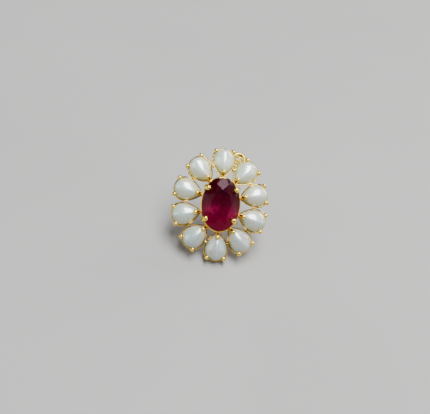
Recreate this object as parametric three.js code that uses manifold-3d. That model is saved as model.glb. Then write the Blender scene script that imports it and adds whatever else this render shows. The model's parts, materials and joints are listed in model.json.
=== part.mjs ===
// Nose pin: a red oval stone ringed by ten pear-shaped pearl cabochons, all claw set in one soldered gold
// mount with a straight post. Millimetres, +Z up. The pin lies as it does on a table, on two feet of its
// lowest petal and the tip of its post, so its face is turned up and towards -Y.
import * as THREE from "three";
import { ConvexGeometry } from "three/addons/geometries/ConvexGeometry.js";
import { mergeVertices } from "three/addons/utils/BufferGeometryUtils.js";
import Module from "manifold-3d";

const wasm = await Module();
wasm.setup();

// Stones. The head's own frame has X across the face, Y along the centre stone and Z out of the face.
const CENTRE = { width: 5, length: 7, crown: 0.85, girdle: 0.14, pavilion: 2.05, girdleZ: 2.75 };
const PETAL = { count: 10, width: 2.85, length: 3.6, dome: 1.0, depth: 0.34 };
const PETAL_RING = { halfWidth: 4.5, halfLength: 5.45, z: 1.75, tilt: THREE.MathUtils.degToRad(8) };
const STONE_GAP = 0.05;

// Cut of the centre stone, as shares of its half width and half length.
const CUT = { mains: 8, table: 0.53, starReach: 0.8, lowerReach: 0.26, girdlePoints: 32 };

// How far a pear outline is drawn in towards its tip, and how a cabochon's dome falls along and across it.
const TIP_SHARPNESS = 0.75;
const DOME_FALL = { along: 0.6, ridge: 1.6, across: 0.65 };

// A petal's metalwork, in the petal's own frame: Z = 0 is the plane of the stone's girdle, its tip is at -Y.
const COLLET_TOP = { outside: 0.14, wall: 0.36, z: -0.14 };
const COLLET_BOTTOM = { outside: -0.28, wall: 0.24, z: -1.22 };
const PETAL_CLAW = { radius: 0.21, ball: 0.29, footZ: -1.5 };
const TIP_CLAW = { footY: -1.8, neckY: -1.96, neckZ: 0.12, ballY: -1.28, ballZ: 0.64 };
const SIDE_CLAW = {
  foot: new THREE.Vector2(0.98, 1.32),
  neck: new THREE.Vector2(1.22, 1.6),
  ball: new THREE.Vector2(1.12, 1.5),
  neckZ: -0.15,
  ballZ: 0.3,
};
const LINK = { radius: 0.18, z: -0.58 };

// The hanger loop between the first two petals and the holes in its plate, in a frame like a petal's.
const LOOP = { width: 1.5, length: 2.4, wireRadius: 0.22, plate: 0.26, outwards: 1.02, z: -0.35 };
const LOOP_HOLES = [
  { x: -0.27, y: 0.5, radius: 0.18 },
  { x: 0.27, y: 0.5, radius: 0.18 },
  { x: 0, y: -0.3, radius: 0.16 },
];

// The basket under the centre stone and the post behind it, in the head's frame.
const SEAT_RING = { outside: -0.06, radius: 0.2, z: 2.29 };
const BASE_RING = { share: 0.66, radius: 0.24, z: 0.3 };
const CENTRE_CLAW = { turn: THREE.MathUtils.degToRad(37), radius: 0.34, ball: 0.38 };
const CLAW_SHOULDER = { outside: 0.3, z: 2.6 };
const CLAW_BALL = { outside: -0.2, z: 3.17 };
const SPOKE_RADIUS = 0.16;
const BRIDGE = { width: 0.9, thickness: 0.6 };
const STOP = { radius: 1.4, thickness: 0.4, z: -0.15 };
const POST = { radius: 0.5, length: 6 };

// Facets round wires, balls, rings, stones and the post.
const WIRE_SIDES = 6;
const BALL_RINGS = 4;
const COLLET_STEPS = 14;
const LOOP_STEPS = 10;
const OVAL_STEPS = 20;
const CABOCHON_SIDES = 18;
const POST_SIDES = 12;
const MERGE_DISTANCE = 1e-4;
const LEAN_TRIES = 40;

// Rings of a cabochon from the middle of its back to the top of its dome, as shares of its outline.
const CABOCHON_RINGS = [
  { reach: 0, back: true },
  { reach: 0.85, back: true },
  { reach: 1, back: false },
  { reach: 0.86, back: false },
  { reach: 0.55, back: false },
  { reach: 0, back: false },
];

const GOLD = new THREE.MeshStandardMaterial({ color: 0xe3b34a, roughness: 0.22, metalness: 1 });
const PEARL = new THREE.MeshStandardMaterial({ color: 0xe4e8df, roughness: 0.28, metalness: 0 });
const RED_STONE = new THREE.MeshStandardMaterial({ color: 0x8c0a2a, roughness: 0.05, metalness: 0 });

// A closed mesh as a solid that can be joined and cut.
function solidOf(geometry) {
  const bare = new THREE.BufferGeometry().setAttribute("position", geometry.getAttribute("position"));
  bare.setIndex(geometry.index);
  const merged = mergeVertices(bare, MERGE_DISTANCE);
  const corners = merged.index.array;
  const kept = [];
  for (let i = 0; i < corners.length; i += 3) {
    const [a, b, c] = corners.subarray(i, i + 3);
    if (a !== b && b !== c && c !== a) kept.push(a, b, c);
  }
  const vertProperties = merged.getAttribute("position").array;
  return new wasm.Manifold(new wasm.Mesh({ numProp: 3, vertProperties, triVerts: new Uint32Array(kept) }));
}

function geometryOf(solid) {
  const mesh = solid.getMesh();
  const geometry = new THREE.BufferGeometry();
  geometry.setAttribute("position", new THREE.BufferAttribute(mesh.vertProperties, 3));
  geometry.setIndex(new THREE.BufferAttribute(mesh.triVerts, 1));
  geometry.computeVertexNormals();
  return geometry;
}

function joined(solids) {
  return solids.reduce((whole, piece) => whole.add(piece));
}

// Outlines: functions from the angle round the outline, in radians from +X, to a point on it.
function oval(halfWidth, halfLength) {
  return (angle) => new THREE.Vector2(halfWidth * Math.cos(angle), halfLength * Math.sin(angle));
}

// How wide a pear is at a turn from its tip. Its widest place is where this has no slope.
function pearSwell(turn) {
  return Math.sin(turn) * Math.abs(Math.sin(turn / 2)) ** TIP_SHARPNESS;
}
const WIDEST_SWELL = pearSwell(2 * Math.acos(1 / Math.sqrt(2 + TIP_SHARPNESS)));

// A pear with its tip towards -Y.
function pear(width, length) {
  return (angle) => {
    const turn = angle + Math.PI / 2;
    const x = ((width / 2) * pearSwell(turn)) / WIDEST_SWELL;
    return new THREE.Vector2(x, (-length / 2) * Math.cos(turn));
  };
}

function roundSection(radius, z = 0) {
  return Array.from({ length: WIRE_SIDES }, (_, i) => {
    const angle = (2 * Math.PI * i) / WIRE_SIDES;
    return new THREE.Vector2(radius * Math.cos(angle), z + radius * Math.sin(angle));
  });
}

// A closed section led round a flat outline: a lathe-turned ring of radius 1, whose reach past that becomes
// the distance outside the outline.
function ringOn(outline, section, steps) {
  const profile = [...section, section[0]].map((corner) => new THREE.Vector2(1 + corner.x, corner.y));
  const ring = new THREE.LatheGeometry(profile, steps).rotateX(Math.PI / 2);
  const place = ring.getAttribute("position");
  for (let i = 0; i < place.count; i++) {
    const angle = Math.atan2(place.getY(i), place.getX(i));
    const outside = Math.hypot(place.getX(i), place.getY(i)) - 1;
    const before = outline(angle - Math.PI / steps);
    const along = outline(angle + Math.PI / steps).sub(before).normalize();
    const on = outline(angle);
    place.setXY(i, on.x + along.y * outside, on.y - along.x * outside);
  }
  return solidOf(ring);
}

// A round wire through a few points.
function wire(points, radius) {
  const path = points.length > 2 ? new THREE.CatmullRomCurve3(points) : new THREE.LineCurve3(...points);
  const section = new THREE.Shape(roundSection(radius));
  const steps = 2 * points.length - 3;
  return solidOf(new THREE.ExtrudeGeometry(section, { steps, extrudePath: path }));
}

// A claw: a wire from its foot to a ball that holds the stone down.
function claw(points, radius, ball) {
  const end = points.at(-1);
  const knob = new THREE.SphereGeometry(ball, WIRE_SIDES, BALL_RINGS).rotateX(Math.PI / 2);
  return wire(points, radius).add(solidOf(knob.translate(end.x, end.y, end.z)));
}

// Height of a cabochon's dome: a soft ridge along its length, taller where the outline is wider.
function domeHeight(x, y, outside) {
  const turn = Math.acos(THREE.MathUtils.clamp(-y / (PETAL.length / 2 + outside), -1, 1));
  const share = pearSwell(turn) / WIDEST_SWELL;
  const halfWidth = share * (PETAL.width / 2 + outside);
  if (halfWidth < MERGE_DISTANCE) return 0;
  const across = Math.min(1, Math.abs(x) / halfWidth);
  const ridge = (PETAL.dome + outside) * share ** DOME_FALL.along;
  return ridge * (1 - across ** DOME_FALL.ridge) ** DOME_FALL.across;
}

// A pear cabochon: a lathe-turned button led out to the pear outline, then domed. Grown, it cuts its seat.
function cabochon(outside = 0) {
  const profile = CABOCHON_RINGS.map((ring, i) => new THREE.Vector2(ring.reach, i));
  const button = new THREE.LatheGeometry(profile, CABOCHON_SIDES).rotateX(Math.PI / 2);
  const place = button.getAttribute("position");
  const outline = pear(PETAL.width + 2 * outside, PETAL.length + 2 * outside);
  for (let i = 0; i < place.count; i++) {
    const ring = CABOCHON_RINGS[Math.round(place.getZ(i))];
    const on = outline(Math.atan2(place.getY(i), place.getX(i))).multiplyScalar(ring.reach);
    const z = ring.back ? -PETAL.depth - outside : domeHeight(on.x, on.y, outside);
    place.setXYZ(i, on.x, on.y, z);
  }
  return button;
}

// An oval brilliant: the hull of its table, star, girdle and pavilion corners. Grown, it cuts its own seat.
function brilliant(outside = 0) {
  const halfGirdle = CENTRE.girdle / 2 + outside;
  const halfTurn = Math.PI / CUT.mains;
  const outline = oval(CENTRE.width / 2 + outside, CENTRE.length / 2 + outside);
  const starFall = (1 - CUT.starReach * Math.cos(halfTurn)) / (1 - CUT.table);
  const lowerFall = 1 - CUT.lowerReach * Math.cos(halfTurn);
  const corners = [new THREE.Vector3(0, 0, -halfGirdle - CENTRE.pavilion)];
  const corner = (turn, reach, z) => {
    const on = outline(turn).multiplyScalar(reach);
    corners.push(new THREE.Vector3(on.x, on.y, z));
  };
  for (let i = 0; i < CUT.mains; i++) {
    const main = 2 * i * halfTurn;
    corner(main, CUT.table, halfGirdle + CENTRE.crown);
    corner(main + halfTurn, CUT.starReach, halfGirdle + CENTRE.crown * starFall);
    corner(main + halfTurn, CUT.lowerReach, -halfGirdle - CENTRE.pavilion * lowerFall);
  }
  for (let i = 0; i < CUT.girdlePoints; i++) {
    const turn = (2 * Math.PI * i) / CUT.girdlePoints;
    corner(turn, 1, halfGirdle);
    corner(turn, 1, -halfGirdle);
  }
  return new ConvexGeometry(corners);
}

// A place on the head like a petal's: turned to face outwards and tipped down at its outer end.
function petalPlace(position, turn) {
  const place = new THREE.Group();
  place.position.copy(position);
  place.rotation.set(-PETAL_RING.tilt, 0, turn, "ZXY");
  place.updateMatrix();
  return place;
}

// The petals are evenly spaced along an oval, clockwise from the top, and square to it.
function petalPlaces() {
  const { halfWidth, halfLength, z } = PETAL_RING;
  const ring = new THREE.EllipseCurve(0, 0, halfWidth, halfLength, Math.PI / 2, -1.5 * Math.PI, true);
  return Array.from({ length: PETAL.count }, (_, i) => {
    const on = ring.getPointAt(i / PETAL.count);
    const outwards = Math.atan2(on.y / halfLength ** 2, on.x / halfWidth ** 2);
    return petalPlace(new THREE.Vector3(on.x, on.y, z), outwards - Math.PI / 2);
  });
}

// One petal's setting: a tapered collet under the stone and three claws.
function petalSetting(place) {
  const walls = [
    new THREE.Vector2(COLLET_BOTTOM.outside, COLLET_BOTTOM.z),
    new THREE.Vector2(COLLET_TOP.outside, COLLET_TOP.z),
    new THREE.Vector2(COLLET_TOP.outside - COLLET_TOP.wall, COLLET_TOP.z),
    new THREE.Vector2(COLLET_BOTTOM.outside - COLLET_BOTTOM.wall, COLLET_BOTTOM.z),
  ];
  const tip = [
    new THREE.Vector3(0, TIP_CLAW.footY, PETAL_CLAW.footZ),
    new THREE.Vector3(0, TIP_CLAW.neckY, TIP_CLAW.neckZ),
    new THREE.Vector3(0, TIP_CLAW.ballY, TIP_CLAW.ballZ),
  ];
  const pieces = [
    ringOn(pear(PETAL.width, PETAL.length), walls, COLLET_STEPS),
    claw(tip, PETAL_CLAW.radius, PETAL_CLAW.ball),
  ];
  for (const side of [-1, 1]) {
    const points = [
      new THREE.Vector3(side * SIDE_CLAW.foot.x, SIDE_CLAW.foot.y, PETAL_CLAW.footZ),
      new THREE.Vector3(side * SIDE_CLAW.neck.x, SIDE_CLAW.neck.y, SIDE_CLAW.neckZ),
      new THREE.Vector3(side * SIDE_CLAW.ball.x, SIDE_CLAW.ball.y, SIDE_CLAW.ballZ),
    ];
    pieces.push(claw(points, PETAL_CLAW.radius, PETAL_CLAW.ball));
  }
  return joined(pieces).transform(place.matrix.elements);
}

// A short link soldered where two neighbouring collets come closest, its ends inside their walls.
function petalLink(place, next) {
  const outline = pear(PETAL.width - LINK.radius, PETAL.length - LINK.radius);
  const tries = 4 * CABOCHON_SIDES;
  const onCollet = (petal, i) => {
    const on = outline((2 * Math.PI * i) / tries);
    return new THREE.Vector3(on.x, on.y, LINK.z).applyMatrix4(petal.matrix);
  };
  let nearest = { gap: Infinity };
  for (let i = 0; i < tries; i++) {
    for (let j = 0; j < tries; j++) {
      const ends = [onCollet(place, i), onCollet(next, j)];
      const gap = ends[0].distanceTo(ends[1]);
      if (gap < nearest.gap) nearest = { gap, ends };
    }
  }
  return wire(nearest.ends, LINK.radius);
}

// A pear-shaped plate with a wire rim and three small holes, soldered between two petals.
function hangerLoop(place, next) {
  const turn = (place.rotation.z + next.rotation.z) / 2;
  const position = place.position.clone().lerp(next.position, 0.5);
  position.x -= LOOP.outwards * Math.sin(turn);
  position.y += LOOP.outwards * Math.cos(turn);
  const outline = pear(LOOP.width, LOOP.length);
  const corners = Array.from({ length: LOOP_STEPS }, (_, i) => outline((2 * Math.PI * i) / LOOP_STEPS));
  const sheet = new THREE.Shape(corners);
  for (const { x, y, radius } of LOOP_HOLES) {
    sheet.holes.push(new THREE.Path().absarc(x, y, radius, 0, 2 * Math.PI));
  }
  const thickness = { depth: LOOP.plate, bevelEnabled: false, curveSegments: WIRE_SIDES };
  const plate = new THREE.ExtrudeGeometry(sheet, thickness).translate(0, 0, LOOP.z - LOOP.plate / 2);
  const rim = ringOn(outline, roundSection(LOOP.wireRadius, LOOP.z), LOOP_STEPS);
  return rim.add(solidOf(plate)).transform(petalPlace(position, turn).matrix.elements);
}

// The basket: a seat ring below the girdle, a base ring, four claws and a spoke out to each petal.
function basket(places) {
  const stoneOutline = (outside) => oval(CENTRE.width / 2 + outside, CENTRE.length / 2 + outside);
  const baseOutline = oval((CENTRE.width / 2) * BASE_RING.share, (CENTRE.length / 2) * BASE_RING.share);
  const at = (on, z) => new THREE.Vector3(on.x, on.y, z);
  const pieces = [
    ringOn(stoneOutline(SEAT_RING.outside), roundSection(SEAT_RING.radius, SEAT_RING.z), OVAL_STEPS),
    ringOn(baseOutline, roundSection(BASE_RING.radius, BASE_RING.z), OVAL_STEPS),
  ];
  for (const turn of [CENTRE_CLAW.turn, Math.PI - CENTRE_CLAW.turn]) {
    for (const angle of [turn, -turn]) {
      const points = [
        at(baseOutline(angle), BASE_RING.z),
        at(stoneOutline(CLAW_SHOULDER.outside)(angle), CLAW_SHOULDER.z),
        at(stoneOutline(CLAW_BALL.outside)(angle), CLAW_BALL.z),
      ];
      pieces.push(claw(points, CENTRE_CLAW.radius, CENTRE_CLAW.ball));
    }
  }
  for (const place of places) {
    const outer = new THREE.Vector3(0, TIP_CLAW.footY, COLLET_BOTTOM.z + SPOKE_RADIUS);
    outer.applyMatrix4(place.matrix);
    const inner = baseOutline(Math.atan2(outer.y / CENTRE.length, outer.x / CENTRE.width));
    pieces.push(wire([at(inner, BASE_RING.z), outer], SPOKE_RADIUS));
  }
  return joined(pieces);
}

// The back: a bridge across the base ring, a flat stop and the post with its rounded tip.
function postAndStop() {
  const span = CENTRE.width * BASE_RING.share;
  const stopBottom = STOP.z - STOP.thickness / 2;
  const straight = POST.length - POST.radius;
  const bridge = new THREE.BoxGeometry(span, BRIDGE.width, BRIDGE.thickness);
  const stop = new THREE.CylinderGeometry(STOP.radius, STOP.radius, STOP.thickness, 2 * POST_SIDES);
  const post = new THREE.CylinderGeometry(POST.radius, POST.radius, straight, POST_SIDES);
  const tip = new THREE.SphereGeometry(POST.radius, POST_SIDES, POST_SIDES / 2);
  return joined([
    solidOf(bridge.translate(0, 0, BASE_RING.z)),
    solidOf(stop.rotateX(Math.PI / 2).translate(0, 0, STOP.z)),
    solidOf(post.rotateX(Math.PI / 2).translate(0, 0, stopBottom - straight / 2)),
    solidOf(tip.rotateX(Math.PI / 2).translate(0, 0, stopBottom - straight)),
  ]);
}

// How far the pin leans back on a table: until its front and the tip of its post are equally low.
function leanOn(geometry) {
  const place = geometry.getAttribute("position");
  const stopBottom = STOP.z - STOP.thickness / 2;
  const low = { front: Infinity, post: Infinity };
  const range = [0, Math.PI / 2];
  for (let i = 0; i < LEAN_TRIES; i++) {
    const lean = (range[0] + range[1]) / 2;
    low.front = low.post = Infinity;
    for (let j = 0; j < place.count; j++) {
      const end = place.getZ(j) < stopBottom ? "post" : "front";
      low[end] = Math.min(low[end], place.getY(j) * Math.sin(lean) + place.getZ(j) * Math.cos(lean));
    }
    range[low.front > low.post ? 0 : 1] = lean;
  }
  return range[0];
}

function named(name, geometry, material) {
  const mesh = new THREE.Mesh(geometry, material);
  mesh.name = name;
  return mesh;
}

const centreStone = named("centre_stone", brilliant(), RED_STONE);
centreStone.position.z = CENTRE.girdleZ;
centreStone.updateMatrix();

const places = petalPlaces();
const metal = joined([
  basket(places),
  postAndStop(),
  hangerLoop(places[0], places[1]),
  ...places.map(petalSetting),
  ...places.map((place, i) => petalLink(place, places[(i + 1) % PETAL.count])),
]);
const seatCutters = [
  solidOf(brilliant(STONE_GAP)).transform(centreStone.matrix.elements),
  ...places.map((place) => solidOf(cabochon(STONE_GAP)).transform(place.matrix.elements)),
];
const setting = seatCutters.reduce((whole, stone) => whole.subtract(stone), metal);

const head = new THREE.Group();
const goldSetting = named("gold_setting", geometryOf(setting), GOLD);
head.add(goldSetting, centreStone);
places.forEach((place, i) => {
  place.add(named(`petal_stone_${String(i + 1).padStart(2, "0")}`, cabochon(), PEARL));
  head.add(place);
});
head.rotation.x = leanOn(goldSetting.geometry);

// The table is Z = 0, and the origin is under the middle of the pin's box.
const pin = new THREE.Group();
pin.add(head);
const box = new THREE.Box3().setFromObject(pin, true);
head.position.set(-(box.min.x + box.max.x) / 2, -(box.min.y + box.max.y) / 2, -box.min.z);

export default pin;
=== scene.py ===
"""Flower nose pin: ten pearl petals and a red oval stone, claw set in one soldered gold mount."""
import json
import math
import random

import bmesh
import bpy
from mathutils import Matrix, Vector
from mathutils.geometry import interpolate_bezier

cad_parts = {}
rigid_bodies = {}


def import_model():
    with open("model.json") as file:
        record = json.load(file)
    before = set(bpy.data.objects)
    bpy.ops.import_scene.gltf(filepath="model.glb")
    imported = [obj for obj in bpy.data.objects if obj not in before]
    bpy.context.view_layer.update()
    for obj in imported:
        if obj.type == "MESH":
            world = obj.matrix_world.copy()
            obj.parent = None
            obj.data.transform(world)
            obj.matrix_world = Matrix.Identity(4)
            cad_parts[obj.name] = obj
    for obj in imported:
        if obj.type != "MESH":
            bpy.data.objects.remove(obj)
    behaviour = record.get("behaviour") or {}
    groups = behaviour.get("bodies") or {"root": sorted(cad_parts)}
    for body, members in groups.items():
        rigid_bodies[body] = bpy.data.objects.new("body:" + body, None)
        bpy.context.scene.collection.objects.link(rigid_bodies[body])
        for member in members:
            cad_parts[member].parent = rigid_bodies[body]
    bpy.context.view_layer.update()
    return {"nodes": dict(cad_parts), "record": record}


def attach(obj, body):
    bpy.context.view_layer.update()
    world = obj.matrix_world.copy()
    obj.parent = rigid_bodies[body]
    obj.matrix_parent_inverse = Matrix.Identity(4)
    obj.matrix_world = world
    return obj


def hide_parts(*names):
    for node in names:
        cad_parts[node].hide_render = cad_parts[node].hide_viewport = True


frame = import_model()

# Sizes are in millimetres. The head's frame has X across the face, Y along the red stone and Z out of the
# face; a petal's has its tip at -Y and its stone's girdle at Z = 0.
MM = 0.001

# The petals stand along an oval ring and tip outwards.
PETAL_COUNT = 10
PETAL_WIDTH, PETAL_LENGTH = 2.85, 3.6
PETAL_DOME, PETAL_DEPTH = 1.0, 0.34
PETAL_TILT = math.radians(8)
RING_HALF_WIDTH, RING_HALF_LENGTH, RING_Z = 4.5, 5.45, 1.75
TIP_SHARPNESS = 0.75
DOME_ALONG, DOME_RIDGE, DOME_ACROSS = 0.6, 1.72, 0.65

# A cabochon's section, as shares of the way out from its middle. The bevel also gives shares of its depth.
BACK_REACHES = [0, 0.4, 0.8, 0.845]
GIRDLE_BEVEL = [(0.86, 0.95), (0.93, 0.5), (0.99, 0.06)]
DOME_REACHES = [0.998, 0.99, 0.975, 0.95, 0.92, 0.88, 0.83, 0.76, 0.68, 0.58, 0.48, 0.38, 0.28, 0.18, 0.09, 0]

# A petal's collet, as corners of (distance outside the stone's outline, height), and its three claws.
COLLET_BOTTOM_Z = -1.22
COLLET_OUTER_WALL = [(-0.29, COLLET_BOTTOM_Z), (0.15, -0.36), (0.2, -0.23)]
COLLET_INNER_WALL = [(0.07, -0.08), (-0.2, -0.42), (-0.5, COLLET_BOTTOM_Z)]
COLLET_ROUNDING = 0.05
CLAW_RADIUS, CLAW_BALL, CLAW_FOOT_Z = 0.21, 0.32, -1.48
TIP_FOOT = Vector((0, -1.8, CLAW_FOOT_Z))
TIP_LOW_BEND = Vector((0, -2.0, -0.7))
TIP_HIGH_BEND = Vector((0, -2.1, 0.45))
TIP_BALL = Vector((0, -1.28, 0.64))
SIDE_FOOT = Vector((0.98, 1.32, CLAW_FOOT_Z))
SIDE_NECK = Vector((1.22, 1.6, -0.15))
SIDE_BALL = Vector((1.12, 1.5, 0.3))
SIDE_SWING = 0.1

# Any claw, in shares of its radius or its ball: a bevelled foot, a stem of (share of the way to the neck,
# share of the radius), and a collar where the ball begins, at a latitude in degrees.
STEM_BEND = 0.6
FOOT_BEVEL = 0.25
STEM_TAPER = [(0.5, 0.98), (1, 0.95)]
NECK_BELOW = 1.5
COLLAR_BELOW, COLLAR_SHARE = 1.05, 0.97
BALL_LATITUDE = -38

# The middle corner of a rounded edge lies this share of the bevel from its two walls.
EDGE_ROUNDING = 0.3

# Links between the petals and spokes to the basket. Solder has run up their ends, in shares of the length
# and of the flare.
LINK_RADIUS, LINK_FLARE, LINK_Z = 0.18, 0.45, -0.58
SPOKE_RADIUS, SPOKE_FLARE = 0.16, 0.4
SOLDER_RUN = [(0, 1), (0.1, 0.5), (0.22, 0.12), (0.5, 0)]

# The hanger loop: a pierced plate with a wire rim, and a finer wire round each hole of (x, y, radius). It is
# matt and darkened with painted shade out to a share of its outline, fully on the plate and half on the
# wires.
LOOP_WIDTH, LOOP_LENGTH = 1.5, 2.4
LOOP_OUTWARDS, LOOP_Z = 1.02, -0.35
LOOP_WIRE, LOOP_PLATE = 0.22, 0.26
HOLE_WIRE, HOLE_LIP = 0.1, 0.02
LOOP_HOLES = [(-0.27, 0.5, 0.18), (0.27, 0.5, 0.18), (0, -0.3, 0.16)]
MATT_SHADE_REACH, MATT_SHADE_WIRE, MATT_SHADE_SKIN = 1.3, 0.5, 0.01

# The red stone's basket: a seat ring, a base ring and four claws.
CENTRE_WIDTH, CENTRE_LENGTH, CENTRE_GIRDLE_Z = 5.0, 7.0, 2.75
SEAT_OUTSIDE, SEAT_RADIUS, SEAT_Z = -0.06, 0.2, 2.29
BASE_SHARE, BASE_RADIUS, BASE_Z = 0.66, 0.24, 0.3
CENTRE_CLAW_TURN = math.radians(37)
CENTRE_CLAW_RADIUS, CENTRE_CLAW_BALL = 0.34, 0.38
SHOULDER_OUTSIDE, SHOULDER_Z, SHOULDER_SWING = 0.3, 2.6, 0.15
CENTRE_BALL_OUTSIDE, CENTRE_BALL_Z = -0.2, 3.17

# The back: a bridge across the base ring, a pillar, the stop and the post. A fillet's corners are
# (distance past the round wall, distance from the stop).
BRIDGE_WIDTH, BRIDGE_THICKNESS, BRIDGE_BEVEL = 0.9, 0.6, 0.12
PILLAR_RADIUS = 0.4
PILLAR_FILLET = [(0.1, 0.1), (0.22, 0)]
STOP_RADIUS, STOP_THICKNESS, STOP_EDGE, STOP_Z = 1.4, 0.4, 0.07, -0.15
POST_RADIUS, POST_LENGTH = 0.5, 5.98
POST_FILLET = [(0.22, 0), (0.1, 0.03), (0.03, 0.1), (0, 0.22)]
STOP_MARK = Vector((0.15, 0.95, STOP_Z - STOP_THICKNESS / 2))

# The stones sit this far inside the seats that are cut for them.
SEAT_CLEARANCE = 0.012

# How finely each shape is turned, and the sharpest edges that are shaded smooth.
PEAR_STEPS = 72
RING_STEPS = 2000
SEAT_STEPS, BASE_STEPS = 96, 80
CLAW_STEPS, CENTRE_CLAW_STEPS = 22, 28
CLAW_POINTS, CENTRE_CLAW_POINTS = 16, 20
BALL_POINTS, POST_TIP_POINTS = 10, 9
LOOP_STEPS, HOLE_STEPS, POST_STEPS = 48, 32, 48
WIRE_SIDES = 14
ROUNDING_SEGMENTS = 3
GOLD_SHARPEST, PEARL_SHARPEST = math.radians(38), math.radians(50)

# Points closer than this are one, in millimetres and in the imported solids' metres.
SAME_POINT, SAME_PACKED_POINT = 1e-5, 1e-7

# Limits for a straight path or a pointed tip, and for a step round the ring.
NEARLY_ZERO, STEP_SLACK = 1e-4, 1e-6

# The head leans back on the post: the stop's mount gives its turn and its place.
stop = next(mount for mount in frame["record"]["mounts"] if mount["name"] == "nostril_stop")
lean = Matrix.Rotation(math.atan2(stop["axis"][1], -stop["axis"][2]), 4, "X")
HEAD = Matrix.Translation(Vector(stop["pos_m"]) - lean @ (STOP_MARK * MM)) @ lean @ Matrix.Scale(MM, 4)

# Each pearl shows another place of the same nacre, this far away at most.
PEARL_SPREAD = 9
chance = random.Random(7)


def pear_swell(turn):
    """How wide a pear is at a turn from its tip."""
    return math.sin(turn) * abs(math.sin(turn / 2)) ** TIP_SHARPNESS


WIDEST_SWELL = pear_swell(2 * math.acos(1 / math.sqrt(2 + TIP_SHARPNESS)))


def pear(width, length):
    """A pear outline with its tip towards -Y, which can be grown."""

    def at(angle, outside=0.0):
        turn = angle + math.pi / 2
        x = (width / 2 + outside) * pear_swell(turn) / WIDEST_SWELL
        return Vector((x, -(length / 2 + outside) * math.cos(turn)))

    return at


def oval(width, length):
    """An oval outline, which can be grown."""

    def at(angle, outside=0.0):
        return Vector(((width / 2 + outside) * math.cos(angle), (length / 2 + outside) * math.sin(angle)))

    return at


petal_outline = pear(PETAL_WIDTH, PETAL_LENGTH)
loop_outline = pear(LOOP_WIDTH, LOOP_LENGTH)
stone_outline = oval(CENTRE_WIDTH, CENTRE_LENGTH)
base_outline = oval(CENTRE_WIDTH * BASE_SHARE, CENTRE_LENGTH * BASE_SHARE)


def lifted(flat, height):
    """A point of an outline, at a height."""
    return flat.to_3d() + Vector((0, 0, height))


def outwards(bm):
    """Turns the faces of a closed shape outwards, whatever was done to it."""
    bm.normal_update()
    bmesh.ops.recalc_face_normals(bm, faces=bm.faces[:])
    return bm


def moved(bm, matrix):
    """Moves a whole shape."""
    bmesh.ops.transform(bm, matrix=matrix, verts=bm.verts[:])
    return bm


def turned(bm, steps):
    """Turns the profile that a bmesh holds, in the XZ plane, round Z."""
    profile = bm.verts[:] + bm.edges[:]
    bmesh.ops.spin(
        bm, geom=profile, cent=(0, 0, 0), axis=(0, 0, 1), angle=math.tau, steps=steps, use_merge=True
    )
    bmesh.ops.remove_doubles(bm, verts=bm.verts[:], dist=SAME_POINT)
    return outwards(bm)


def lathe(profile, steps):
    """A profile of (reach, height) corners, turned round Z."""
    bm = bmesh.new()
    corners = [bm.verts.new((reach, 0, height)) for reach, height in profile]
    for pair in zip(corners, corners[1:]):
        bm.edges.new(pair)
    return turned(bm, steps)


def disc(radius, low, high, steps):
    """A flat round plate."""
    return lathe([(0, low), (radius, low), (radius, high), (0, high)], steps)


def eased(reach, height, bevel, way):
    """Profile corners that round an edge, from its flat face to a wall that goes up, 1, or down, -1."""
    middle = EDGE_ROUNDING * bevel
    return [(reach - bevel, height), (reach - middle, height + way * middle), (reach, height + way * bevel)]


def round_end(radius, height, start, pole, count):
    """Profile corners on a ball round the axis, from a latitude to a pole, in degrees."""
    angles = [math.radians(start + (pole - start) * i / (count - 1)) for i in range(count - 1)]
    corners = [(radius * math.cos(angle), height + radius * math.sin(angle)) for angle in angles]
    return corners + [(0, height + math.copysign(radius, pole))]


def led_round(bm, outline):
    """Leads a ring of radius 1 onto an outline: its reach past 1 becomes the distance outside."""
    for vert in bm.verts:
        angle = math.atan2(vert.co.y, vert.co.x)
        outside = math.hypot(vert.co.x, vert.co.y) - 1
        vert.co.xy = outline(angle, outside)
    return outwards(bm)


def stretched(bm, outline, outside=0.0):
    """Stretches a shape of radius 1 until it fills an outline."""
    for vert in bm.verts:
        reach = math.hypot(vert.co.x, vert.co.y)
        vert.co.xy = outline(math.atan2(vert.co.y, vert.co.x), outside) * reach
    return bm


def wall_ring(outline, corners, rounding, steps):
    """A wall with a rounded section of (outside, height) corners, led round an outline."""
    bm = bmesh.new()
    bm.faces.new([bm.verts.new((1 + outside, 0, height)) for outside, height in corners])
    bmesh.ops.bevel(
        bm,
        geom=bm.verts[:],
        offset=rounding,
        affect="VERTICES",
        segments=ROUNDING_SEGMENTS,
        profile=0.5,
        material=-1,
        clamp_overlap=True,
    )
    bmesh.ops.delete(bm, geom=bm.faces[:], context="FACES_ONLY")
    return led_round(turned(bm, steps), outline)


def wire_ring(outline, radius, height, steps):
    """A round wire led round an outline."""
    bm = bmesh.new()
    bmesh.ops.create_circle(bm, segments=WIRE_SIDES, radius=radius)
    bmesh.ops.rotate(bm, verts=bm.verts[:], cent=(0, 0, 0), matrix=Matrix.Rotation(math.pi / 2, 3, "X"))
    bmesh.ops.translate(bm, verts=bm.verts[:], vec=(1, 0, height))
    return led_round(turned(bm, steps), outline)


def length_of(path):
    """The length of a path of points."""
    return sum((b - a).length for a, b in zip(path, path[1:]))


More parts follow.
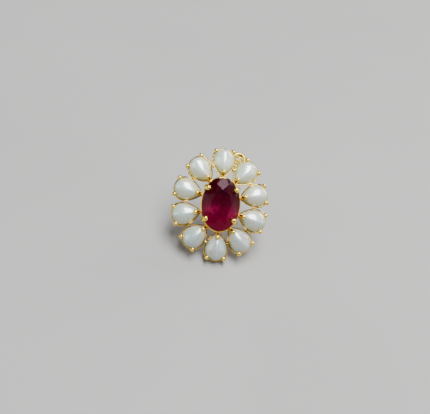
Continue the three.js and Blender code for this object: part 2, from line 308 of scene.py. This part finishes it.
def bent(bm, path):
    """Leads a shape that stands on Z along a flat path, its height measured along the path."""
    last = len(path) - 1
    ends = [(path[1] - path[0]).normalized(), (path[-1] - path[-2]).normalized()]
    side = ends[0].cross(ends[1])
    side = side.normalized() if side.length > NEARLY_ZERO else ends[0].orthogonal().normalized()
    marks = [length_of(path[: i + 1]) for i in range(len(path))]
    tangents = [(path[min(i + 1, last)] - path[max(i - 1, 0)]).normalized() for i in range(len(path))]
    for vert in bm.verts:
        height = vert.co.z
        i = max(0, min(last - 1, sum(mark <= height for mark in marks) - 1))
        share = (height - marks[i]) / (marks[i + 1] - marks[i])
        along = tangents[i].lerp(tangents[i + 1], max(0.0, min(1.0, share))).normalized()
        vert.co = path[i].lerp(path[i + 1], share) + vert.co.x * side + vert.co.y * along.cross(side)
    return outwards(bm)


def claw_path(foot, neck, ball, swing, count):
    """A stem that rises from its foot, swings past its neck and bends in to its ball."""
    return interpolate_bezier(foot, foot.lerp(neck, STEM_BEND), neck + (neck - foot) * swing, ball, count)


def claw(path, radius, ball, steps=CLAW_STEPS):
    """A prong: a bevelled foot, a stem that thins a little, and a ball at the end of the path."""
    height = length_of(path)
    neck = height - NECK_BELOW * ball
    profile = [(0, 0)] + eased(radius, 0, FOOT_BEVEL * radius, 1)
    profile += [(thinned * radius, way * neck) for way, thinned in STEM_TAPER]
    profile.append((COLLAR_SHARE * radius, height - COLLAR_BELOW * ball))
    profile += round_end(ball, height, BALL_LATITUDE, 90, BALL_POINTS)
    return bent(lathe(profile, steps), path)


def strut(start, end, radius, flare):
    """A wire between two joints, thicker where solder has run up it."""
    length = (end - start).length
    profile = [(0, 0)] + [(radius * (1 + grown * flare), way * length) for way, grown in SOLDER_RUN]
    profile += [(reach, length - height) for reach, height in reversed(profile[:-1])]
    return bent(lathe(profile, WIRE_SIDES), [start, end])


def dome_height(x, y, outside=0.0):
    """Height of a petal's dome: a soft ridge along its length, taller where the outline is wider."""
    turn = math.acos(max(-1.0, min(1.0, -y / (PETAL_LENGTH / 2 + outside))))
    share = pear_swell(turn) / WIDEST_SWELL
    half_width = share * (PETAL_WIDTH / 2 + outside)
    if half_width < NEARLY_ZERO:
        return 0.0
    across = min(1.0, abs(x) / half_width)
    return (PETAL_DOME + outside) * share**DOME_ALONG * (1 - across**DOME_RIDGE) ** DOME_ACROSS


def cabochon(outside=0.0):
    """A pear cabochon: a flat back, a bevel up to a narrow girdle and the ridged dome."""
    depth = -PETAL_DEPTH - outside
    profile = [(reach, depth) for reach in BACK_REACHES]
    profile += [(reach, share * depth) for reach, share in GIRDLE_BEVEL]
    profile.append((1, 0))
    profile += [(reach, 1 - reach) for reach in DOME_REACHES]
    bm = stretched(lathe(profile, PEAR_STEPS), petal_outline, outside)
    for vert in bm.verts:
        if vert.co.z > 0:
            vert.co.z = dome_height(vert.co.x, vert.co.y, outside)
    return outwards(bm)


def petal_place(x, y, turn):
    """A place on the ring, turned and tipped outwards."""
    tipped = Matrix.Rotation(turn, 4, "Z") @ Matrix.Rotation(-PETAL_TILT, 4, "X")
    return Matrix.Translation((x, y, RING_Z)) @ tipped


def petal_stations():
    """The petals' (x, y, turn): evenly along the oval ring, clockwise from the top, and square to it."""
    angles = [math.pi / 2 - math.tau * i / RING_STEPS for i in range(RING_STEPS + 1)]
    ring = [Vector((RING_HALF_WIDTH * math.cos(a), RING_HALF_LENGTH * math.sin(a), 0)) for a in angles]
    step = length_of(ring) / PETAL_COUNT
    stations, walked = [], 0.0
    for a, b in zip(ring, ring[1:]):
        if walked >= step * len(stations) - STEP_SLACK and len(stations) < PETAL_COUNT:
            turn = math.atan2(a.y / RING_HALF_LENGTH**2, a.x / RING_HALF_WIDTH**2) - math.pi / 2
            stations.append((a.x, a.y, turn))
        walked += (b - a).length
    return stations


def loop_place(first, second):
    """Where the hanger loop sits, outwards of the middle between two petals."""
    turn = (first[2] + second[2]) / 2
    x = (first[0] + second[0]) / 2 - LOOP_OUTWARDS * math.sin(turn)
    y = (first[1] + second[1]) / 2 + LOOP_OUTWARDS * math.cos(turn)
    return petal_place(x, y, turn)


stations = petal_stations()
petals = [petal_place(*station) for station in stations]
loop_at = loop_place(stations[0], stations[1])


def petal_setting(place):
    """One petal's metal: a tapered collet with a thin lip, a tip claw and two side claws."""
    tip = interpolate_bezier(TIP_FOOT, TIP_LOW_BEND, TIP_HIGH_BEND, TIP_BALL, CLAW_POINTS)
    stem = claw_path(SIDE_FOOT, SIDE_NECK, SIDE_BALL, SIDE_SWING, CLAW_POINTS)
    section = COLLET_OUTER_WALL + COLLET_INNER_WALL
    collet = wall_ring(petal_outline, section, COLLET_ROUNDING, PEAR_STEPS)
    shapes = [collet, claw(tip, CLAW_RADIUS, CLAW_BALL)]
    for side in (-1, 1):
        mirror = Matrix.Diagonal((side, 1, 1))
        shapes.append(claw([mirror @ point for point in stem], CLAW_RADIUS, CLAW_BALL))
    return [moved(shape, place) for shape in shapes]


def petal_link(place, following):
    """A short link where two neighbouring collets come closest."""
    inset = pear(PETAL_WIDTH - LINK_RADIUS, PETAL_LENGTH - LINK_RADIUS)
    outline = [lifted(inset(math.tau * i / PEAR_STEPS), LINK_Z) for i in range(PEAR_STEPS)]
    pairs = [(place @ a, following @ b) for a in outline for b in outline]
    start, end = min(pairs, key=lambda pair: (pair[0] - pair[1]).length)
    return strut(start, end, LINK_RADIUS, LINK_FLARE)


def hanger_loop():
    """A pear-shaped plate with a round wire for its rim and a finer one round each of its holes."""
    plate = stretched(disc(1, LOOP_Z - LOOP_PLATE / 2, LOOP_Z, LOOP_STEPS), loop_outline)
    shapes = [outwards(plate), wire_ring(loop_outline, LOOP_WIRE, LOOP_Z, LOOP_STEPS)]
    for x, y, radius in LOOP_HOLES:
        collar = oval(2 * (radius + HOLE_WIRE), 2 * (radius + HOLE_WIRE))
        ring = wire_ring(collar, HOLE_WIRE, LOOP_Z + LOOP_PLATE / 2 - HOLE_WIRE, HOLE_STEPS)
        shapes.append(moved(ring, Matrix.Translation((x, y, 0))))
    return [moved(shape, loop_at) for shape in shapes]


def loop_holes():
    """Cutters for the holes in the loop's plate."""
    cutters = []
    for x, y, radius in LOOP_HOLES:
        cutter = disc(radius - HOLE_LIP, -LOOP_PLATE, LOOP_PLATE, HOLE_STEPS)
        cutters.append(moved(cutter, loop_at @ Matrix.Translation((x, y, LOOP_Z))))
    return cutters


def basket():
    """A seat ring below the red stone's girdle, a base ring, four claws and a spoke to each petal."""
    seat = oval(CENTRE_WIDTH + 2 * SEAT_OUTSIDE, CENTRE_LENGTH + 2 * SEAT_OUTSIDE)
    shapes = [
        wire_ring(seat, SEAT_RADIUS, SEAT_Z, SEAT_STEPS),
        wire_ring(base_outline, BASE_RADIUS, BASE_Z, BASE_STEPS),
    ]
    for turn in (CENTRE_CLAW_TURN, math.pi - CENTRE_CLAW_TURN):
        for angle in (turn, -turn):
            foot = lifted(base_outline(angle), BASE_Z)
            shoulder = lifted(stone_outline(angle, SHOULDER_OUTSIDE), SHOULDER_Z)
            ball = lifted(stone_outline(angle, CENTRE_BALL_OUTSIDE), CENTRE_BALL_Z)
            path = claw_path(foot, shoulder, ball, SHOULDER_SWING, CENTRE_CLAW_POINTS)
            shapes.append(claw(path, CENTRE_CLAW_RADIUS, CENTRE_CLAW_BALL, CENTRE_CLAW_STEPS))
    for petal in petals:
        outer = petal @ Vector((0, TIP_FOOT.y, COLLET_BOTTOM_Z + SPOKE_RADIUS))
        angle = math.atan2(outer.y / CENTRE_LENGTH, outer.x / CENTRE_WIDTH)
        shapes.append(strut(lifted(base_outline(angle), BASE_Z), outer, SPOKE_RADIUS, SPOKE_FLARE))
    return shapes


def bridge():
    """A bevelled bar across the base ring."""
    bm = bmesh.new()
    bmesh.ops.create_cube(bm, size=1)
    span = CENTRE_WIDTH * BASE_SHARE
    bmesh.ops.scale(bm, vec=(span, BRIDGE_WIDTH, BRIDGE_THICKNESS), verts=bm.verts[:])
    bmesh.ops.bevel(
        bm,
        geom=bm.edges[:],
        offset=BRIDGE_BEVEL,
        affect="EDGES",
        segments=ROUNDING_SEGMENTS,
        profile=0.5,
        material=-1,
    )
    return moved(bm, Matrix.Translation((0, 0, BASE_Z)))


def post_and_stop():
    """A pillar below the bridge, a flat stop and the post, with fillets and a rounded tip."""
    top, bottom = STOP_Z + STOP_THICKNESS / 2, STOP_Z - STOP_THICKNESS / 2
    profile = [(0, BASE_Z), (PILLAR_RADIUS, BASE_Z)]
    profile += [(PILLAR_RADIUS + past, top + away) for past, away in PILLAR_FILLET]
    profile += eased(STOP_RADIUS, top, STOP_EDGE, -1)
    profile += reversed(eased(STOP_RADIUS, bottom, STOP_EDGE, 1))
    profile += [(POST_RADIUS + past, bottom - away) for past, away in POST_FILLET]
    profile += round_end(POST_RADIUS, bottom - POST_LENGTH + POST_RADIUS, 0, -90, POST_TIP_POINTS)
    return lathe(profile, POST_STEPS)


def mesh_object(name, bm):
    """An object with a bmesh's shape, which is freed."""
    mesh = bpy.data.meshes.new(name)
    bm.to_mesh(mesh)
    bm.free()
    piece = bpy.data.objects.new(name, mesh)
    bpy.context.scene.collection.objects.link(piece)
    return piece


def smoothed(piece, sharpest):
    """Shades a piece smooth, apart from its edges that turn more than an angle."""
    bm = bmesh.new()
    bm.from_mesh(piece.data)
    for face in bm.faces:
        face.smooth = True
    for edge in bm.edges:
        edge.smooth = edge.calc_face_angle(math.pi) < sharpest
    bm.to_mesh(piece.data)
    bm.free()


def gathered(name, shapes):
    """A collection with one object for each shape."""
    group = bpy.data.collections.new(name)
    bpy.context.scene.collection.children.link(group)
    for i, shape in enumerate(shapes):
        piece = mesh_object(f"{name}_{i:02d}", shape)
        bpy.context.scene.collection.objects.unlink(piece)
        group.objects.link(piece)
    return group


def soldered(name, shapes, cutters):
    """Joins closed shapes into one solid, then cuts seats and holes into it."""
    whole = mesh_object(name, shapes[0])
    groups = [gathered("metal", shapes[1:]), gathered("seats", cutters)]
    for group, operation in zip(groups, ("UNION", "DIFFERENCE")):
        joint = whole.modifiers.new(group.name, "BOOLEAN")
        joint.operation = operation
        joint.solver = "MANIFOLD"
        joint.operand_type = "COLLECTION"
        joint.collection = group
    made = whole.evaluated_get(bpy.context.evaluated_depsgraph_get())
    mesh = bpy.data.meshes.new_from_object(made)
    whole.modifiers.clear()
    whole.data = mesh
    for group in groups:
        for piece in list(group.objects):
            bpy.data.objects.remove(piece)
        bpy.data.collections.remove(group)
    return whole


def grown_brilliant(outside):
    """The red stone's own facets, grown a little, to cut its seat."""
    bm = bmesh.new()
    bm.from_mesh(frame["nodes"]["centre_stone"].data)
    bmesh.ops.remove_doubles(bm, verts=bm.verts[:], dist=SAME_PACKED_POINT)
    moved(bm, HEAD.inverted())
    middle = Vector((0, 0, CENTRE_GIRDLE_Z))
    for vert in bm.verts:
        vert.co += (vert.co - middle).normalized() * outside
    return bm


def marked(piece, name, kind, values):
    """Writes a value for each vertex, which the piece's material reads."""
    mark = piece.data.attributes.new(name, kind, "POINT")
    for i, value in enumerate(values):
        setattr(mark.data[i], "vector" if kind == "FLOAT_VECTOR" else "value", value)


def matt_and_shade_share(at):
    """How matt, and how darkened with painted shade, a point of the head is: fully on the hanger loop's flat
    web, and half on its wires.
    """
    own = loop_at.inverted() @ at
    reach = math.hypot(2 * own.x / LOOP_WIDTH, 2 * own.y / LOOP_LENGTH)
    height = abs(own.z - LOOP_Z)
    if height < MATT_SHADE_SKIN and reach < 1:
        return 1.0
    return MATT_SHADE_WIRE if height < LOOP_WIRE + MATT_SHADE_SKIN and reach < MATT_SHADE_REACH else 0.0


def gold_mount():
    """The whole mount, with the stones' seats cut and the loop's holes pierced."""
    shapes = basket() + [bridge(), post_and_stop()] + hanger_loop()
    for i, petal in enumerate(petals):
        shapes += petal_setting(petal)
        shapes.append(petal_link(petal, petals[(i + 1) % PETAL_COUNT]))
    cutters = [grown_brilliant(SEAT_CLEARANCE)] + loop_holes()
    cutters += [moved(cabochon(SEAT_CLEARANCE), petal) for petal in petals]
    whole = soldered("gold_mount", shapes, cutters)
    smoothed(whole, GOLD_SHARPEST)
    marked(whole, "web", "FLOAT", [matt_and_shade_share(vert.co) for vert in whole.data.vertices])
    whole.data.transform(HEAD)
    return whole


def pearl_petal(number, place):
    """One stone, with the marks that its material reads: its own place and which way each flank looks."""
    bm = cabochon()
    spread = Vector([chance.uniform(-PEARL_SPREAD, PEARL_SPREAD) for _ in range(2)] + [0])
    own = [vert.co + spread for vert in bm.verts]
    moved(bm, place)
    bm.normal_update()
    looks = [vert.normal.copy() for vert in bm.verts]
    stone = mesh_object(f"pearl_petal_{number:02d}", bm)
    smoothed(stone, PEARL_SHARPEST)
    marked(stone, "stone_place", "FLOAT_VECTOR", own)
    marked(stone, "flank", "FLOAT_VECTOR", looks)
    stone.data.transform(HEAD)
    return stone


mount = gold_mount()
pearls = [pearl_petal(i + 1, petal) for i, petal in enumerate(petals)]
ruby = frame["nodes"]["centre_stone"]


def filled(made, **values):
    """Fills a node's inputs by name, with _ for a space."""
    for name, value in values.items():
        made.inputs[name.replace("_", " ")].default_value = value
    return made


def node(tree, kind, **values):
    """Adds a shader node. Lower-case values are its settings, and the others fill its inputs."""
    made = tree.nodes.new(kind)
    settings = [name for name in values if name[0].islower()]
    for name in settings:
        setattr(made, name, values.pop(name))
    return filled(made, **values)


def effect(name, takes, gives):
    """An empty shader group with named sockets."""
    group = bpy.data.node_groups.new(name, "ShaderNodeTree")
    for label, (kind, value) in takes.items():
        socket = group.interface.new_socket(name=label, in_out="INPUT", socket_type=f"NodeSocket{kind}")
        if value is not None:
            socket.default_value = value
    for label, kind in gives.items():
        group.interface.new_socket(name=label, in_out="OUTPUT", socket_type=f"NodeSocket{kind}")
    return group, group.nodes.new("NodeGroupInput").outputs, group.nodes.new("NodeGroupOutput").inputs


def placed(tree, group, place, **values):
    """Puts a group into a material, at places and with its own values."""
    made = tree.nodes.new("ShaderNodeGroup")
    made.node_tree = group
    tree.links.new(place, made.inputs["Vector"])
    return filled(made, **values).outputs


def ranged(tree, value, low, high, to_low, to_high):
    """A value drawn from one range onto another, without going past it."""
    made = node(tree, "ShaderNodeMapRange", From_Min=low, From_Max=high, To_Min=to_low, To_Max=to_high)
    tree.links.new(value, made.inputs["Value"])
    return made.outputs["Result"]


def ramped(tree, value, stops):
    """A share that follows stops of (value, share)."""
    made = node(tree, "ShaderNodeValToRGB")
    elements = made.color_ramp.elements
    for at, _ in stops[1:-1]:
        elements.new(at)
    for element, (at, share) in zip(elements, stops):
        element.position = at
        element.color = (share, share, share, 1)
    tree.links.new(value, made.inputs["Fac"])
    return made.outputs["Color"]


def blended(tree, share, first, second):
    """Two colours mixed; each, and the share, is a value or a socket."""
    made = node(tree, "ShaderNodeMix", data_type="RGBA")
    for source, target in ((share, made.inputs[0]), (first, made.inputs[6]), (second, made.inputs[7])):
        if isinstance(source, bpy.types.NodeSocket):
            tree.links.new(source, target)
        else:
            target.default_value = source
    return made.outputs[2]


def split(tree, vector):
    """The X, Y and Z of a vector."""
    made = node(tree, "ShaderNodeSeparateXYZ")
    tree.links.new(vector, made.inputs["Vector"])
    return made.outputs


def read_mark(tree, name):
    """A mark that the piece's mesh holds."""
    return node(tree, "ShaderNodeAttribute", attribute_name=name).outputs


def polish_effect():
    """Fine polishing lines and soft smears, as masks from 0 to 1."""
    takes = {"Vector": ("Vector", None), "Line Scale": ("Float", 6.0), "Smear Scale": ("Float", 0.8)}
    group, given, made = effect("polish_marks", takes, {"Lines": "Float", "Smears": "Float"})
    stretch = node(group, "ShaderNodeMapping", Scale=(1.0, 0.12, 1.0), Rotation=(0.3, 0.2, 0.6))
    group.links.new(given["Vector"], stretch.inputs["Vector"])
    lines = node(group, "ShaderNodeTexNoise", Detail=4.0, Roughness=0.7)
    group.links.new(stretch.outputs["Vector"], lines.inputs["Vector"])
    group.links.new(given["Line Scale"], lines.inputs["Scale"])
    smears = node(group, "ShaderNodeTexNoise", Detail=2.0, Roughness=0.5)
    group.links.new(given["Vector"], smears.inputs["Vector"])
    group.links.new(given["Smear Scale"], smears.inputs["Scale"])
    group.links.new(ranged(group, lines.outputs["Fac"], 0.35, 0.65, 0, 1), made["Lines"])
    group.links.new(ranged(group, smears.outputs["Fac"], 0.3, 0.7, 0, 1), made["Smears"])
    return group


def drift_effect():
    """Two colours that drift into each other."""
    takes = {
        "Vector": ("Vector", None),
        "Scale": ("Float", 1.0),
        "First": ("Color", (1, 1, 1, 1)),
        "Second": ("Color", (1, 1, 1, 1)),
    }
    group, given, made = effect("colour_drift", takes, {"Colour": "Color"})
    cloud = node(group, "ShaderNodeTexNoise", Detail=3.0, Roughness=0.55, Distortion=0.4)
    group.links.new(given["Vector"], cloud.inputs["Vector"])
    group.links.new(given["Scale"], cloud.inputs["Scale"])
    share = ranged(group, cloud.outputs["Fac"], 0.35, 0.65, 0, 1)
    group.links.new(blended(group, share, given["First"], given["Second"]), made["Colour"])
    return group


polish_marks = polish_effect()
colour_drift = drift_effect()


def drifting(tree, place, first, second, scale):
    """A colour that drifts between two."""
    return placed(tree, colour_drift, place, Scale=scale, First=first, Second=second)["Colour"]


def finish_of(name):
    """A new material, its node tree and its shader."""
    material = bpy.data.materials.new(name)
    material.use_nodes = True
    return material, material.node_tree, material.node_tree.nodes["Principled BSDF"]


def head_place(tree):
    """Places on the head's own frame, in millimetres."""
    place = node(tree, "ShaderNodeTexCoord").outputs["Object"]
    frame_of_head = node(
        tree,
        "ShaderNodeMapping",
        vector_type="TEXTURE",
        Location=HEAD.translation,
        Rotation=HEAD.to_euler(),
        Scale=(MM, MM, MM),
    )
    tree.links.new(place, frame_of_head.inputs["Vector"])
    return frame_of_head.outputs["Vector"]


def bumped(tree, shader, height, strength, distance):
    """Raises a surface a little by a height."""
    bump = node(tree, "ShaderNodeBump", Strength=strength, Distance=distance)
    tree.links.new(height, bump.inputs["Height"])
    tree.links.new(bump.outputs["Normal"], shader.inputs["Normal"])


# Gold: two tones that drift, a painted shade that is deeper and redder low down in the head, and a dark
# painted shade on the loop's matt web.
GOLD_LIGHT, GOLD_WARM = (1.0, 0.74, 0.14, 1), (0.92, 0.64, 0.07, 1)
GOLD_PAINTED_SHADE, GOLD_WEB_SHADE = (0.6, 0.34, 0.03, 1), (0.22, 0.17, 0.025, 1)
GOLD_FULL_SHADE_Z, GOLD_UNSHADED_Z = 0.2, 1.9
GOLD_ROUGHNESS, WEB_ROUGHNESS = (0.06, 0.17), 0.5


def polished_gold():
    """Yellow gold: hand polished on top, with painted shade that makes it darker and redder down between the
    stones, and matt and darkened with painted shade on the hanger loop.
    """
    material, tree, shader = finish_of("polished_gold")
    place = head_place(tree)
    marks = placed(tree, polish_marks, place, Line_Scale=9.0, Smear_Scale=0.9)
    colour = drifting(tree, place, GOLD_LIGHT, GOLD_WARM, scale=0.7)
    # Painted shade: lower down in the head the gold is mixed towards a darker, redder tone.
    depth = ranged(tree, split(tree, place)["Z"], GOLD_FULL_SHADE_Z, GOLD_UNSHADED_Z, 1, 0)
    colour = blended(tree, depth, colour, GOLD_PAINTED_SHADE)
    # Painted shade: the loop's web is mixed towards a dark tone, fully on the plate and half on its wires.
    web = read_mark(tree, "web")["Fac"]
    tree.links.new(blended(tree, web, colour, GOLD_WEB_SHADE), shader.inputs["Base Color"])
    matt = node(tree, "ShaderNodeMath", operation="MAXIMUM")
    tree.links.new(ranged(tree, marks["Smears"], 0, 1, *GOLD_ROUGHNESS), matt.inputs[0])
    tree.links.new(ranged(tree, web, 0, 1, 0, WEB_ROUGHNESS), matt.inputs[1])
    tree.links.new(matt.outputs["Value"], shader.inputs["Roughness"])
    filled(shader, Metallic=1.0)
    bumped(tree, shader, marks["Lines"], strength=0.12, distance=0.01 * MM)
    return material


# Nacre: mint and white drift under blue and lilac. The flanks get painted reflection and shade by the way
# that they look. A flank's row is the way that it looks, where its tint starts and is full on that axis, the
# tint's most share and the tint.
NACRE_MINT, NACRE_WHITE = (0.74, 0.95, 0.85, 1), (0.92, 0.98, 0.95, 1)
NACRE_BLUE, NACRE_LILAC = (0.74, 0.92, 1.0, 1), (0.98, 0.86, 0.95, 1)
LILAC_SHARE = 0.35
NACRE_FLANK_SHADING = [
    ("X", -0.08, -0.5, 0.6, (0.48, 0.74, 0.58, 1)),
    ("X", 0.1, 0.55, 0.55, (0.58, 0.62, 0.4, 1)),
    ("Y", -0.05, -0.6, 0.8, (0.42, 0.37, 0.2, 1)),
]

# Painted reflection: the rim is tinted as if it mirrors the gold round it; shares on the way from the stone's
# back to its crest.
NACRE_BACK_Z, NACRE_CREST_Z = -0.4, 0.98
RIM_REFLECTION_STOPS = [(0.12, 0), (0.45, 0.9), (1.0, 0)]
NACRE_RIM_REFLECTION = (0.58, 0.56, 0.22, 1)
NACRE_BAND, BAND_SHARE = (0.7, 0.78, 0.8, 1), 0.14

# Painted shade: towards the head's lower end the stones are darker and greyer, with blue and rose in them.
OPAL_SHADE_BLUE, OPAL_SHADE_ROSE = (0.19, 0.36, 0.41, 1), (0.46, 0.33, 0.35, 1)
OPAL_SHADE_FROM_Y, OPAL_SHADE_TO_Y, OPAL_SHADE_SHARE = 4.0, -6.0, 0.66
NACRE_ROUGHNESS = (0.2, 0.3)


def mother_of_pearl():
    """Nacre: milky white with mint and lilac in it, painted reflection and shade on its flanks in mint, cream
    and dark olive, a painted reflection of the gold at its rim, growth bands, and painted shade towards the
    head's lower end.
    """
    material, tree, shader = finish_of("mother_of_pearl")
    own = read_mark(tree, "stone_place")["Vector"]
    look = split(tree, read_mark(tree, "flank")["Vector"])
    mint = drifting(tree, own, NACRE_MINT, NACRE_WHITE, scale=0.5)
    lilac = drifting(tree, own, NACRE_BLUE, NACRE_LILAC, scale=0.9)
    colour = blended(tree, LILAC_SHARE, mint, lilac)
    # Painted reflection and shade: each flank is tinted by the way that it looks.
    for axis, start, full, most, tint in NACRE_FLANK_SHADING:
        colour = blended(tree, ranged(tree, look[axis], start, full, 0, most), colour, tint)
    # Painted reflection of the gold round the stone, strongest near its girdle.
    height = ranged(tree, split(tree, own)["Z"], NACRE_BACK_Z, NACRE_CREST_Z, 0, 1)
    colour = blended(tree, ramped(tree, height, RIM_REFLECTION_STOPS), colour, NACRE_RIM_REFLECTION)
    bands = node(tree, "ShaderNodeTexWave", bands_direction="X", Scale=1.3, Distortion=3.0, Detail=2.0)
    tree.links.new(own, bands.inputs["Vector"])
    colour = blended(tree, ranged(tree, bands.outputs["Fac"], 0, 1, 0, BAND_SHARE), colour, NACRE_BAND)
    # Painted shade: towards the head's lower end the stones are mixed towards a darker blue and rose.
    lower = ranged(tree, split(tree, head_place(tree))["Y"], OPAL_SHADE_FROM_Y, OPAL_SHADE_TO_Y, 0, OPAL_SHADE_SHARE)
    colour = blended(tree, lower, colour, drifting(tree, own, OPAL_SHADE_BLUE, OPAL_SHADE_ROSE, scale=0.75))
    tree.links.new(colour, shader.inputs["Base Color"])
    marks = placed(tree, polish_marks, own, Line_Scale=5.0, Smear_Scale=1.2)
    tree.links.new(ranged(tree, marks["Smears"], 0, 1, *NACRE_ROUGHNESS), shader.inputs["Roughness"])
    filled(shader, IOR=1.53, Metallic=0.25, Coat_Weight=1.0, Coat_Roughness=0.13)
    filled(shader, Subsurface_Weight=0.25, Subsurface_Scale=1.0)
    filled(shader, Subsurface_Radius=(0.6 * MM, 0.6 * MM, 0.5 * MM))
    bumped(tree, shader, bands.outputs["Fac"], strength=0.05, distance=0.02 * MM)
    return material


# Painted glow and shade: the red stone's emission lights it from inside at its lower end, and its colour is
# darker at its top end.
RED_LIGHT, RED_WINE, RED_DARK = (0.034, 0.0, 0.006, 1), (0.026, 0.0, 0.007, 1), (0.02, 0.0, 0.003, 1)
RED_GLOW, RED_EMBER = (0.1, 0.0, 0.013, 1), (0.005, 0.0, 0.0008, 1)
RED_LIT_Y, RED_DARK_Y = -2.4, 1.8
RED_ROUGHNESS = (0.24, 0.3)


def red_stone():
    """A deep crimson cut stone, cloudy inside and clear on its facets, with painted shade darker towards its
    top end and a painted glow at its lower end.
    """
    material, tree, shader = finish_of("red_cut_stone")
    place = head_place(tree)
    # Painted shade: the stone's colour darkens towards its top end.
    glow_and_shade = ranged(tree, split(tree, place)["Y"], RED_LIT_Y, RED_DARK_Y, 0, 1)
    colour = blended(tree, glow_and_shade, drifting(tree, place, RED_LIGHT, RED_WINE, scale=0.5), RED_DARK)
    tree.links.new(colour, shader.inputs["Base Color"])
    # Painted glow: the emission is brightest at the stone's lower end.
    tree.links.new(blended(tree, glow_and_shade, RED_GLOW, RED_EMBER), shader.inputs["Emission Color"])
    marks = placed(tree, polish_marks, place, Line_Scale=7.0, Smear_Scale=0.7)
    tree.links.new(ranged(tree, marks["Smears"], 0, 1, *RED_ROUGHNESS), shader.inputs["Roughness"])
    filled(shader, IOR=1.77, Transmission_Weight=1.0, Emission_Strength=1.0)
    filled(shader, Specular_Tint=(0.1, 0.01, 0.04, 1), Coat_Weight=0.115, Coat_Roughness=0.04)
    return material


TABLE_LIGHT, TABLE_DARK = (0.36, 0.357, 0.354, 1), (0.34, 0.337, 0.334, 1)
TABLE_HALF_SIDE = 1.5


def table_top():
    """A plain pale table."""
    material, tree, shader = finish_of("pale_table")
    place = node(tree, "ShaderNodeTexCoord").outputs["Object"]
    colour = drifting(tree, place, TABLE_LIGHT, TABLE_DARK, scale=18.0)
    tree.links.new(colour, shader.inputs["Base Color"])
    filled(shader, Roughness=0.7)
    return material


gold = polished_gold()
pearl = mother_of_pearl()
mount.data.materials.clear()
mount.data.materials.append(gold)
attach(mount, "root")
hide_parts("gold_setting")
for i, stone in enumerate(pearls):
    stone.data.materials.append(pearl)
    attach(stone, "root")
    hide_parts(f"petal_stone_{i + 1:02d}")
crimson = red_stone()
for slot in ruby.material_slots:
    slot.material = crimson

floor_shape = bmesh.new()
bmesh.ops.create_grid(floor_shape, x_segments=1, y_segments=1, size=TABLE_HALF_SIDE)
floor = mesh_object("table", floor_shape)
floor.data.materials.append(table_top())

# The photograph's view: direction of the camera in the head's frame, the flower's turn in the picture, and
# where the red stone's middle stands from the picture's middle, in millimetres.
VIEW = Vector((-0.09, -0.05, 0.99)).normalized()
VIEW_ROLL = math.radians(5.3)
VIEW_DISTANCE, VIEW_WIDTH, VIEW_NEAREST = 150.0, 55.6, 5.0
VIEW_RIGHT, VIEW_UP = 0.75, 0.33
SENSOR = 36.0

# The lights look at this height, in metres, and their distances and sizes are in metres too.
LIT_HEIGHT = 0.006


def looking(right, up, back, at):
    """The place of a camera or light from its own three axes."""
    return Matrix.Translation(at) @ Matrix((right, up, back)).transposed().to_4x4()


def photo_camera():
    """A camera at the photograph's angle to the face."""
    turn = HEAD.to_3x3().normalized()
    back = turn @ VIEW
    up = turn @ Vector((0, 1, 0))
    up = (up - up.dot(back) * back).normalized()
    right = up.cross(back)
    rolled = Matrix.Rotation(VIEW_ROLL, 3, back)
    right, up = rolled @ right, rolled @ up
    target = HEAD @ Vector((0, 0, CENTRE_GIRDLE_Z)) - (right * VIEW_RIGHT + up * VIEW_UP) * MM
    camera = bpy.data.objects.new("camera", bpy.data.cameras.new("camera"))
    camera.matrix_world = looking(right, up, back, target + back * VIEW_DISTANCE * MM)
    camera.data.sensor_width = SENSOR
    camera.data.lens = SENSOR * VIEW_DISTANCE / VIEW_WIDTH
    camera.data.clip_start = VIEW_NEAREST * MM
    bpy.context.scene.collection.objects.link(camera)
    bpy.context.scene.camera = camera


def softbox(name, direction, distance, size, power, colour):
    """An area light that looks at the pin from a direction, its height along the flower's length."""
    light = bpy.data.lights.new(name, "AREA")
    light.shape = "RECTANGLE"
    light.size, light.size_y = size
    light.energy = power
    light.color = colour
    lamp = bpy.data.objects.new(name, light)
    aim = Vector(direction).normalized()
    across = (HEAD.to_3x3() @ Vector((0, 1, 0))).cross(aim).normalized()
    lamp.matrix_world = looking(across, aim.cross(across), aim, aim * distance + Vector((0, 0, LIT_HEIGHT)))
    bpy.context.scene.collection.objects.link(lamp)


def studio():
    """A warm key, a large soft light overhead, two dim cards at the sides and a dim surrounding."""
    square, tall, wide = (0.2, 0.2), (0.18, 0.42), (0.4, 0.3)
    warm, plain, cool = (1.0, 0.97, 0.92), (0.99, 1.0, 1.0), (0.97, 0.98, 1.0)
    softbox("key", (0.75, 0.5, 0.45), distance=0.4, size=square, power=0.9, colour=warm)
    softbox("overhead", (0.13, -0.1, 0.98), distance=0.42, size=tall, power=4.3, colour=plain)
    softbox("left_card", (-0.91, -0.24, 0.38), distance=0.5, size=wide, power=0.8, colour=cool)
    softbox("right_card", (0.91, -0.24, 0.38), distance=0.5, size=wide, power=0.6, colour=cool)
    world = bpy.data.worlds.new("studio")
    world.use_nodes = True
    filled(world.node_tree.nodes["Background"], Color=(0.1, 0.1, 0.105, 1))
    bpy.context.scene.world = world


photo_camera()
studio()

bpy.context.view_layer.update()
